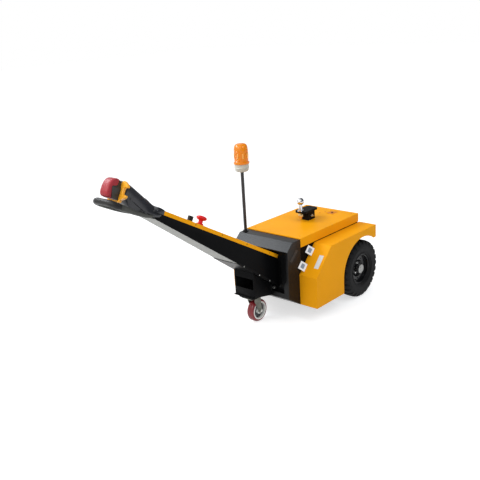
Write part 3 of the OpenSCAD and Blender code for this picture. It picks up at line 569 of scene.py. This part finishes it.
def head_shell():
    bm = bmesh.new()
    stations = [4.0, 5.5, 9, 16, 24, 34, 42, 50, 60, 72, 86, 100, 115, 130, 145, 160, 175, 190, 205, 215, 225, 235, 245, 254, 259, 261.4, 262]
    ends = {4.0: 6.0, 5.5: 2.5, 9: 0.6, 261.4: 1.6, 262: 4.0}
    ring_loft(bm, [[H(x, u, n) for x, n in hood_section(u, ends.get(u, 0))] for u in stations])
    lathe_bm(bm, H(0, 250, MID_N), Vector(H(0, 300, 0)) - Vector(H(0, 250, 0)),
             [(0, 0), (0, 30), (34, 30), (34, 0)], 48, closed=False)
    from_bm("head_hood", bm, M["head"], "tug_body", slot="head_plastic", replaces=("head_shell",), smooth=38)
    # the tail's tongue, which lies on the boom's strip
    bm = bmesh.new()
    rings = []
    for u, hw, corner, middle in ((-10, 77.2, 63, 68.2), (-8, 78.4, 64.5, 70), (-3, 79, 66, 71.6), (8, 79.4, 67.5, 73.5),
                                  (20, 79.4, 68.5, 75.5), (32, 79, 68, 76.5), (46, 76, 58, 77), (60, 69, 44, 78)):
        ring = [(hw, STRIP_N - 24), (hw, corner), (hw - 3, corner + 3.5), (hw - 10, corner + 5.5)]
        full = ring + [(0, middle)] + [(-x, n) for x, n in ring[::-1]]
        rings.append([H(x, u, n) for x, n in full])
    ring_loft(bm, rings)
    from_bm("head_tail", bm, M["head"], "tug_body", slot="head_plastic", smooth=45)
    # a lighter grey patch on top of the tail over its pocket, a painted highlight, and dark patches for the vents in
    # the side panels, painted shade
    bm = bmesh.new()
    rings = []
    for u in range(52, 100, 4):
        w = 20 - abs(u - 72) * 0.18
        n = between(RIDGE_N, u)
        rings.append([H(x, u, n + 0.9 - 0.0011 * x * x) for x in (-w, -w * 0.5, 0, w * 0.5, w)]
                     + [H(x, u, n - 2) for x in (w, 0, -w)])
    ring_loft(bm, rings)
    from_bm("head_tail_painted_highlight", bm, M["grip"], "tug_body", slot="head_plastic", smooth=40)
    # the vents: dark patches, painted shade standing for the inside of their openings
    bm = bmesh.new()
    for side in (-1, 1):
        outline = [(98, 12), (132, 12), (139, 17), (136, 29), (127, 26)]
        prism_bm(bm, outline, lambda u, n, d: H(side * (between(HOOD_HW, u) - 9.5 + d), u, n), 0, 3.0)
    from_bm("head_side_vents", bm, M["vent_shade"], "tug_body", slot="black_plastic", bevel=0.8)


def head_front():
    axis = Vector(H(0, 100, 0)) - Vector(H(0, 0, 0))
    # collar: its cheeks come to a point beside the button
    bm = bmesh.new()
    rings = []
    for u, low, high, ridge in ((COLLAR_U, 32, 131, 88), (310, 32, HIGH_N - 1, 89), (322, 33, 115, 91),
                                (330, 58, 103, 92), (336, 84, 94, 92)):
        top_hw = COLLAR_HW - 15
        rings.append([H(x, u, n) for x, n in ((-COLLAR_HW, low), (COLLAR_HW, low), (COLLAR_HW, ridge), (top_hw, high),
                                              (-top_hw, high), (-COLLAR_HW, ridge))])
    ring_loft(bm, rings)
    from_bm("collar_with_cheeks", bm, M["collar"], "tug_body", slot="black_plastic", replaces=("head_collar",),
            bevel=1.6)
    # belly button: domed over its height and rounded across
    profile = [(BUTTON_SEAT_U, 31), (BUTTON_SEAT_U, 131), (BUTTON_SEAT_U + 1.7, 136), (318, 136.5), (329, 133), (339, 127),
               (346, 119.5), (352, 108), (356, 92), (357.5, 76), (357.5, 60), (355, 47), (349, 37.5), (340, 32),
               (328, 31)]
    bm = bmesh.new()
    rings = []
    for x in (-1, -0.985, -0.93, -0.82, -0.66, -0.45, -0.2, 0.2, 0.45, 0.66, 0.82, 0.93, 0.985, 1):
        edge = max(0.0, (abs(x) - 0.45) / 0.55)
        depth = 1 - 0.22 * (1 - math.sqrt(max(0.0, 1 - edge * edge)))
        squeeze = 1 - 0.05 * (1 - math.sqrt(max(0.0, 1 - edge ** 4)))
        rings.append([H(x * BUTTON_HW, BUTTON_SEAT_U + (u - BUTTON_SEAT_U) * depth, MID_N - 2 + (n - MID_N + 2) * squeeze)
                      for u, n in profile])
    ring_loft(bm, rings)
    from_bm("belly_button_cushion", bm, M["rose"], "tug_body", slot="rose_button", replaces=("belly_button",), smooth=50)
    # thumb throttles: double lobes, with a lower arm that reaches under the collar
    lobes = [(20, 30), (22, 42), (30, 51), (42, 54), (58, 47), (78, 32), (80, 25), (74, 20), (60, 20), (54, 12), (53, 0),
             (55, -12), (62, -18), (82, -18), (86, -24), (80, -34), (62, -42), (49, -46), (49, -60), (0.2, -60),
             (0.2, -49), (34, -42), (20, -30), (20, 0)]
    for side, tag in ((-1, "left"), (1, "right")):
        bm = bmesh.new()
        prism_bm(bm, lobes, lambda x, n, u: H(side * x, u, MID_N + n), BARREL_U + 1.5, BARREL_U + 19.5)
        o = from_bm(f"thumb_throttle_{tag}", bm, M["thumb"], "tug_body", slot="yellow_plastic",
                    replaces=(f"throttle_{tag}",), smooth=60, bevel=5.0)
        o.modifiers["edge"].segments = 4


def hand_loop():
    # the arms: flat at the tail, tall where they meet the loop
    arm = [(66, 50, 19, 9, 7), (78, 74, 11, 9, 9), (88, 110, 5, 10, 10), (92, 166, 0, 10.5, 11.5), (92.5, 215, -1, 11, 13),
           (92.5, 258, -1, 12, 15), (92, 280, 0, 15.5, 17), (91.2, 299, 0.7, 17.4, 17.6)]
    front_u, front_n, bend, r = 331.0, 4.0, 48.0, 17.0
    for side, tag in ((-1, "left"), (1, "right")):
        bm = bmesh.new()
        rings = []
        for x, u, n, rx, rn in arm:
            ring = []
            for k in range(20):
                a = 2 * math.pi * k / 20
                c, sn = math.cos(a), math.sin(a)
                ring.append(H(side * (x + rx * math.copysign(abs(c) ** 0.75, c)), u, n + rn * math.copysign(abs(sn) ** 0.75, sn)))
            rings.append(ring)
        ring_loft(bm, rings)
        from_bm(f"loop_arm_{tag}", bm, M["grip"], "tug_body", slot="head_plastic", smooth=45, subsurf=1)
        bm = bmesh.new()
        path = [H(side * 92, 270, 0), H(side * 92, 274, 0)]
        for k in range(9):
            a = math.pi / 2 * k / 8
            path.append(H(side * (92 - bend + bend * math.cos(a)), front_u - bend + bend * math.sin(a),
                          front_n * k / 8))
        path += [H(side * 30, front_u, front_n), H(side * 14, front_u, front_n), H(0, front_u, front_n)]
        tube_bm(bm, path, [12, 12, 12, 13.5] + [17.4] * 7 + [r, r, r], 24, normal=Vector(H(0, 0, 1)) - Vector(H(0, 0, 0)))
        from_bm(f"hand_grip_{tag}", bm, M["plastic"], "tug_body", slot="black_plastic",
                replaces=(f"head_grip_{tag}",), smooth=50)


head_shell()
head_front()
hand_loop()


# Beacon: grey base, domed lens with a flange, and the bars of its fresnel band
def beacon():
    lo, hi = mm_box("beacon_base")
    x, y = (lo.x + hi.x) / 2, (lo.y + hi.y) / 2
    lens_lo, lens_hi = mm_box("beacon_lens")
    r = (lens_hi.x - lens_lo.x) / 2 - 6
    h = lens_hi.z - lens_lo.z
    base_h = hi.z - lo.z
    lathe("beacon_base_moulding", (x, y, lo.z), (0, 0, 1),
          [(0, 0), (0, r - 16), (3, r - 7), (10, r - 2), (base_h * 0.45, r), (base_h * 0.5, r + 2.5),
           (base_h * 0.56, r + 2.5), (base_h * 0.62, r), (base_h - 1, r + 1), (base_h, r - 1), (base_h, 0)],
          M["grey_plastic"], "tug_body", slot="grey_plastic", replaces=("beacon_base",), smooth=30)
    profile = [(0, 0), (0, r + 5.5), (5, r + 5.8), (10, r + 5.5), (12, r + 1)]
    z = 14
    while z < h - 42:
        profile += [(z, r + 0.6), (z + 1.5, r - 0.8), (z + 4.5, r - 0.8), (z + 6, r + 0.6)]
        z += 7
    for k in range(9):
        a = deg(10 * k)
        profile.append((h - 34 + 34 * math.sin(a), (r - 1) * math.cos(a) ** 0.55))
    profile.append((h, 0))
    lathe("beacon_lens_ribbed", (x, y, lens_lo.z), (0, 0, 1), profile, M["amber"], "tug_body", slot="amber_lens",
          replaces=("beacon_lens",), smooth=24)
    bm = bmesh.new()
    for k in range(8):
        a = 2 * math.pi * k / 8 + 0.2
        lathe_bm(bm, (x + (r + 0.5) * math.cos(a), y + (r + 0.5) * math.sin(a), lens_lo.z + h * 0.28), (0, 0, 1),
                 [(0, 0), (1, 2.2), (h * 0.26 - 1, 2.2), (h * 0.26, 0)], 10, closed=False)
    from_bm("beacon_lens_bars", bm, M["bars"], "tug_body", slot="amber_lens")


beacon()

# Castor wheel: a wider tread with grooves, and a core with a bright rim ring and a dark dish
CASTOR_Y, CASTOR_R, CASTOR_HW = -719.0, 75.0, 25.0
lathe("castor_tread_grooved", (0, CASTOR_Y, CASTOR_R), (1, 0, 0),
      [(-CASTOR_HW, 58), (-CASTOR_HW, 67), (-CASTOR_HW + 4, 72), (-CASTOR_HW + 10, 74.6), (-9, 75), (-8, 73.6), (-6, 73.6),
       (-5, 75), (5, 75), (6, 73.6), (8, 73.6), (9, 75), (CASTOR_HW - 10, 74.6), (CASTOR_HW - 4, 72), (CASTOR_HW, 67),
       (CASTOR_HW, 58)], M["tread"], "castor_wheel", closed=True, slot="castor_tread", replaces=("castor_tread",), seg=72)
lathe("castor_rim_ring", (0, CASTOR_Y, CASTOR_R), (1, 0, 0),
      [(-CASTOR_HW - 0.5, 52), (-CASTOR_HW - 0.5, 60), (CASTOR_HW + 0.5, 60), (CASTOR_HW + 0.5, 52), (CASTOR_HW - 5, 50),
       (10, 49), (8, 26), (CASTOR_HW + 1, 22), (CASTOR_HW + 1, 7), (-CASTOR_HW - 1, 7), (-CASTOR_HW - 1, 22), (-8, 26),
       (-10, 49), (-CASTOR_HW + 5, 50)], M["core"], "castor_wheel", closed=True, slot="castor_core",
      replaces=("castor_rim",), seg=72)
for side in (-1, 1):
    tag = "left" if side < 0 else "right"
    lathe(f"castor_dish_{tag}", (side * 10.6, CASTOR_Y, CASTOR_R), (side, 0, 0),
          [(0, 27), (0, 48.6), (1.2, 48.6), (1.2, 27)], M["cast"], "castor_wheel", closed=True, slot="castor_core")

# Front: the boom's edges, as in the part
BOOM_TOP_A, BOOM_BOT_A = deg(29.9), deg(36.3)
BOOM_ROOT_Y, BOOM_ROOT_Z, BOOM_END_Y = -618.0, 445.0, -1519.57


def boom_bot(y):
    return 382 + (-825 - y) * math.tan(BOOM_BOT_A)


def boom_top(y):
    return BOOM_ROOT_Z + (BOOM_ROOT_Y - y) * math.tan(BOOM_TOP_A)


def boom_hw(y):
    return 118 + (74 - 118) * (BOOM_ROOT_Y - y) / (BOOM_ROOT_Y - BOOM_END_Y)


def cradle_and_nose():
    # the cradle's bands reach farther up the boom than its floor
    front, rear, wall = -980.0, -667.0, 14.0
    bm = bmesh.new()
    for side in (-1, 1):
        outline = [(front, boom_bot(front) - 4), (front, boom_bot(front) + wall - 5),
                   (front + 12, boom_bot(front + 12) + wall), (rear, boom_bot(rear) + wall), (rear, boom_bot(rear) - 4)]
        prism_bm(bm, outline, lambda y, z, d: (side * (boom_hw(y) + d), y, z), 0.3, 3.3)
    floor_line = [(front, boom_bot(front) - 4.1), (front, boom_bot(front) - 0.6), (rear, boom_bot(rear) - 0.6),
                  (rear, boom_bot(rear) - 4.1)]
    ring_loft(bm, [[(side * (boom_hw(y) + 3.3), y, z) for y, z in floor_line] for side in (-1, 1)])
    from_bm("cradle_channel", bm, M["black"], "tug_body", slot="black_sheet", replaces=("nose_cradle",), bevel=0.8)
    # the nose: two side sheets, a front with its window, a floor and a lip
    hw, y0, y1, low, back_low, t = 82.0, -825.0, -655.3, 210.0, 176.0, 3.0
    win_hw, win_lo, win_hi = 73.0, 262.0, 333.0
    top = boom_bot(y0) - 5
    bm = bmesh.new()
    for side in (-1, 1):
        outline = [(y0, low), (y0, top), (BOOM_ROOT_Y - 1, boom_bot(BOOM_ROOT_Y) - 5), (BOOM_ROOT_Y - 1, 206), (y1, 206), (y1, back_low)]
        prism_bm(bm, outline, lambda y, z, d: (side * (hw - t + d), y, z), 0, t)
    frame_parts = [((-hw + t, win_hi), (hw - t, top)), ((-hw + t, low), (hw - t, win_lo)),
                   ((-hw + t, win_lo), (-win_hw, win_hi)), ((win_hw, win_lo), (hw - t, win_hi))]
    for (xa, za), (xb, zb) in frame_parts:
        box_bm(bm, (xa, y0, za), (xb, y0 + t, zb))
    box_bm(bm, (-hw + t, y0 + t, 212), (hw - t, y1 - 1, 215))
    box_bm(bm, (-60, -815, 187), (60, y1 - 1, 190))
    for side in (-1, 1):
        box_bm(bm, (min(side * 57, side * 60), -815, 190), (max(side * 57, side * 60), y1 - 1, 212))
    box_bm(bm, (-60, -815, 190), (60, -812, 212))
    box_bm(bm, (-hw - 3, y0 - 10, low - 5), (hw + 3, y0 + t, low))
    from_bm("nose_sheets", bm, M["black"], "tug_body", slot="black_sheet", replaces=("nose_box",), bevel=0.8)
    # fasteners of the cradle and the boss at the nose's root
    bm = bmesh.new()
    for y in (-932, -802, -712):
        for side in (-1, 1):
            pan_bm(bm, (side * (boom_hw(y) + 3.3), y, boom_bot(y) + 3), (side, 0, 0), 4.2)
    from_bm("cradle_screws", bm, M["zinc"], "tug_body", slot="zinc_plate")
    bm = bmesh.new()
    for side in (-1, 1):
        lathe_bm(bm, (side * hw, -640, 226), (side, 0, 0), [(0, 0), (0, 27), (2.5, 27), (4, 25), (4, 0)], 40, closed=False)
    from_bm("root_bosses", bm, M["black"], "tug_body", slot="black_sheet")


cradle_and_nose()


def boom_strip():
    """The yellow strip: a sheet on the boom's top edge with lips folded down over its sides."""
    lip = 23.0
    bm = bmesh.new()
    rings = []
    for y, lean in ((BOOM_ROOT_Y - 3, -11), (BOOM_ROOT_Y - 60, 0), (-1000, 0), (BOOM_END_Y, 0)):
        w = boom_hw(y) + 2.3
        ring = []
        for x, dz in ((-w, -lip), (-w, 3.3), (w, 3.3), (w, -lip), (w - 2, -lip), (w - 2, 0.3), (2 - w, 0.3), (2 - w, -lip)):
            yy = y + (lean if dz < 0 else 0)
            ring.append((x, yy, boom_top(yy) + dz))
        rings.append(ring)
    ring_loft(bm, rings)
    from_bm("boom_strip_folded", bm, M["yellow"], "tug_body", slot="yellow_paint", replaces=("boom_strip",), bevel=1.0)


boom_strip()

# Screws, blank plates and the lid's lock
BODY_HW = mm_box("front_housing")[1].x
LID_LO, LID_HI = mm_box("top_cover")
FENDER_LO, FENDER_HI = mm_box("fender_right")
bevel_dir = Vector((0, 167, 173)).normalized()
bevel_out = Vector((0, -bevel_dir.z, bevel_dir.y))
bm = bmesh.new()
for side in (-1, 1):
    for y in (-303, -69):
        pan_bm(bm, (side * LID_HI.x, y, 495), (side, 0, 0), 4.5)
from_bm("skirt_screws", bm, M["yellow"], "tug_body", slot="yellow_paint")
bm = bmesh.new()
for y in range(-700, -1480, -195):
    for side in (-1, 1):
        at = Vector((side * (boom_hw(y) + 2.3), y, boom_top(y) - 9))
        pan_bm(bm, at, (side, 0, 0), 3.2, 1.6)
from_bm("strip_screws", bm, M["plastic"], "tug_body", slot="black_plastic")


def bevel_plate(name, corner, x0, x1, length, mat, slot, t=1.0):
    """A thin blank plate on a slope, from a point at its foot up the slope."""
    bm = bmesh.new()
    foot = Vector(corner)
    rings = []
    for d in (0.05, t):
        rings.append([Vector((x, 0, 0)) + foot + bevel_dir * s + bevel_out * d
                      for x, s in ((x0, 0), (x1, 0), (x1, length), (x0, length))])
    ring_loft(bm, rings)
    return from_bm(name, bm, mat, "tug_body", slot=slot, bevel=0.3)


# the blank label on each fender's slope, whose lower edge is the fender's front top edge
slope_y, slope_z = FENDER_LO.y, 307.0
LATCH_AT = (54, 170)
for side, tag in ((-1, "left"), (1, "right")):
    foot = Vector((0, slope_y, slope_z)) + bevel_dir * 66
    a, b = sorted((side * 304, side * 337))
    bevel_plate(f"blank_label_{tag}", foot, a, b, 96, M["label"], "zinc_plate", 0.6)
    latch = bmesh.new()
    inset = bmesh.new()
    for middle in LATCH_AT:
        foot = Vector((0, slope_y, slope_z)) + bevel_dir * middle
        for target, points, half in (
                (latch, ((0.3, 42), (1, 46), (28, 4), (25, 0.4)), 27),
                (inset, ((8.2, 35.4), (9.0, 36.2), (21.8, 16.2), (21.0, 15.4)), 15)):
            ring_loft(target, [[Vector((side * (BODY_HW + x), 0, 0)) + foot + bevel_dir * t + bevel_out * h
                                for x, h in points] for t in (-half, half)])
    from_bm(f"latch_faces_{tag}", latch, M["latch"], "tug_body", slot="zinc_plate", bevel=0.8,
            replaces=(f"latch_plates_{tag}",))
    from_bm(f"latch_insets_{tag}", inset, M["inset"], "tug_body", slot="zinc_plate", bevel=0.2)
bm = bmesh.new()
for side in (-1, 1):
    outline = [(-634, 424), (-611, 413), (-549, 474), (-566, 486)]
    prism_bm(bm, outline, lambda y, z, d: (side * (BODY_HW + d), y, z), 0.05, 0.9)
from_bm("blank_side_plates", bm, M["dark_label"], "tug_body", slot="black_sheet", bevel=0.2)

# the lock in the lid: a shallow frame, a floor in a darker yellow that is painted shade, and a barrel
bm = bmesh.new()
x0, x1, y0, y1 = 32, 87, 36, 100
box_bm(bm, (x0, y0, LID_HI.z + 0.1), (x1, y1, LID_HI.z + 0.5))
from_bm("lock_floor", bm, M["darker_yellow"], "tug_body", slot="yellow_paint")
bm = bmesh.new()
tube_bm(bm, [(x0, y0, LID_HI.z + 0.4), (x1, y0, LID_HI.z + 0.4), (x1, y1, LID_HI.z + 0.4), (x0, y1, LID_HI.z + 0.4)], 1.2, 8,
        closed=True)
from_bm("lock_frame", bm, M["yellow"], "tug_body", slot="yellow_paint")
lathe("lock_barrel", (60, 66, LID_HI.z), (0, 0, 1), [(0, 0), (0, 8), (2.4, 8), (3, 7), (3, 3), (1.4, 2.4), (1.4, 0)],
      M["plastic"], "tug_body", slot="black_plastic")
bm = bmesh.new()
for at in ((6, 60), (-14, 22)):
    pan_bm(bm, (at[0], at[1], LID_HI.z), (0, 0, 1), 5)
for x in (-190, 190):
    for y in (-480, 110):
        pan_bm(bm, (x, y, LID_HI.z), (0, 0, 1), 4)
from_bm("lid_screws", bm, M["darker_yellow"], "tug_body", slot="yellow_paint")

# hitch: bolts through the block and the brass coloured nut on the ball's shank
block_lo, block_hi = mm_box("hitch_block")
bm = bmesh.new()
for side in (-1, 1):
    bolt_bm(bm, (side * block_hi.x, -136, 573), (side, 0, 0), 7, 7, washer=10)
from_bm("hitch_bolts", bm, M["zinc"], "tug_body", slot="zinc_plate")
bm = bmesh.new()
bolt_bm(bm, (0, -218, 584), (0, 0, 1), 19, 20, sides=6)
lathe_bm(bm, (0, -218, 566), (0, 0, 1), [(0, 0), (0, 8), (2, 11), (18, 11), (18, 0)], 32, closed=False)
from_bm("ball_nut", bm, M["brass"], "tug_body", slot="chrome")

# floor and light
floor_mesh = bpy.data.meshes.new("studio_floor")
bm = bmesh.new()
bm.faces.new([bm.verts.new((x, y, -0.0005)) for x, y in ((-30, -30), (30, -30), (30, 30), (-30, 30))])
bm.to_mesh(floor_mesh)
bm.free()
floor = bpy.data.objects.new("studio_floor", floor_mesh)
scene.collection.objects.link(floor)
fm = finish_mat("studio_white", (0.64, 0.64, 0.64), rough=0.9, vary=0.01, bump=0.0, spec=0.0)


def seen_directly(nt):
    """1 for camera, glossy and transmission rays, so that the background is white to them."""
    path = node(nt, "ShaderNodeLightPath")
    first = node(nt, "ShaderNodeMath", operation="MAXIMUM")
    second = node(nt, "ShaderNodeMath", operation="MAXIMUM")
    nt.links.new(path.outputs["Is Camera Ray"], first.inputs[0])
    nt.links.new(path.outputs["Is Glossy Ray"], first.inputs[1])
    nt.links.new(first.outputs[0], second.inputs[0])
    nt.links.new(path.outputs["Is Transmission Ray"], second.inputs[1])
    return path, second.outputs[0]


f_path, f_seen = seen_directly(fm.node_tree)
glow = node(fm.node_tree, "ShaderNodeMath", operation="MULTIPLY")
glow.inputs[1].default_value = 0.60
fm.node_tree.links.new(f_seen, glow.inputs[0])
fm_shader = fm.node_tree.nodes["Principled BSDF"]
fm_shader.inputs["Emission Color"].default_value = (1, 1, 1, 1)
fm.node_tree.links.new(glow.outputs[0], fm_shader.inputs["Emission Strength"])
floor_mesh.materials.append(fm)

world = bpy.data.worlds.new("studio")
scene.world = world
world.use_nodes = True
wt = world.node_tree
bg = wt.nodes["Background"]
w_tc = node(wt, "ShaderNodeTexCoord")
w_dot = node(wt, "ShaderNodeVectorMath", operation="DOT_PRODUCT")
w_dot.inputs[1].default_value = (0.68, 0.73, 0.0)
wt.links.new(w_tc.outputs["Generated"], w_dot.inputs[0])
w_ramp = node(wt, "ShaderNodeValToRGB")
w_ramp.color_ramp.elements[0].position = 0.0
w_ramp.color_ramp.elements[0].color = (1.0, 1.0, 1.0, 1)
w_ramp.color_ramp.elements[1].position = 0.25
w_ramp.color_ramp.elements[1].color = (0.16, 0.16, 0.17, 1)
wt.links.new(w_dot.outputs["Value"], w_ramp.inputs["Fac"])
w_path = node(wt, "ShaderNodeLightPath")
w_mix = node(wt, "ShaderNodeMix", data_type="RGBA")
w_mix.inputs[6].default_value = (0.74, 0.75, 0.77, 1)
wt.links.new(w_path.outputs["Is Glossy Ray"], w_mix.inputs[0])
wt.links.new(w_ramp.outputs["Color"], w_mix.inputs[7])
w_plain = node(wt, "ShaderNodeMix", data_type="RGBA")
w_plain.inputs[7].default_value = (1, 1, 1, 1)
w_direct = node(wt, "ShaderNodeMath", operation="MAXIMUM")
wt.links.new(w_path.outputs["Is Camera Ray"], w_direct.inputs[0])
wt.links.new(w_path.outputs["Is Transmission Ray"], w_direct.inputs[1])
wt.links.new(w_direct.outputs[0], w_plain.inputs[0])
wt.links.new(w_mix.outputs[2], w_plain.inputs[6])
wt.links.new(w_plain.outputs[2], bg.inputs["Color"])
bg.inputs["Strength"].default_value = 1.0


def softbox(name, direction, size, strength, colour):
    """An area light four metres from the part, seen from it along a direction."""
    data = bpy.data.lights.new(name, "AREA")
    data.shape = "RECTANGLE"
    data.size, data.size_y = size
    data.energy = strength * math.pi * size[0] * size[1]
    data.color = colour
    o = bpy.data.objects.new(name, data)
    scene.collection.objects.link(o)
    aim = Vector((0, 0.1, 0.5))
    o.location = aim + Vector(direction).normalized() * 4.0
    o.rotation_euler = (aim - o.location).to_track_quat("-Z", "Y").to_euler()


softbox("key", (-0.65, -0.30, 0.71), (1.7, 1.2), 12, (0.90, 0.95, 1.0))
softbox("side_strip", (0.66, -0.05, 0.76), (0.5, 1.8), 9, (0.92, 0.96, 1.0))
softbox("front_fill", (-0.15, -0.82, 0.56), (3.0, 1.5), 4.0, (1.0, 0.97, 0.92))

scene.view_settings.view_transform = "Standard"
scene.view_settings.look = "None"
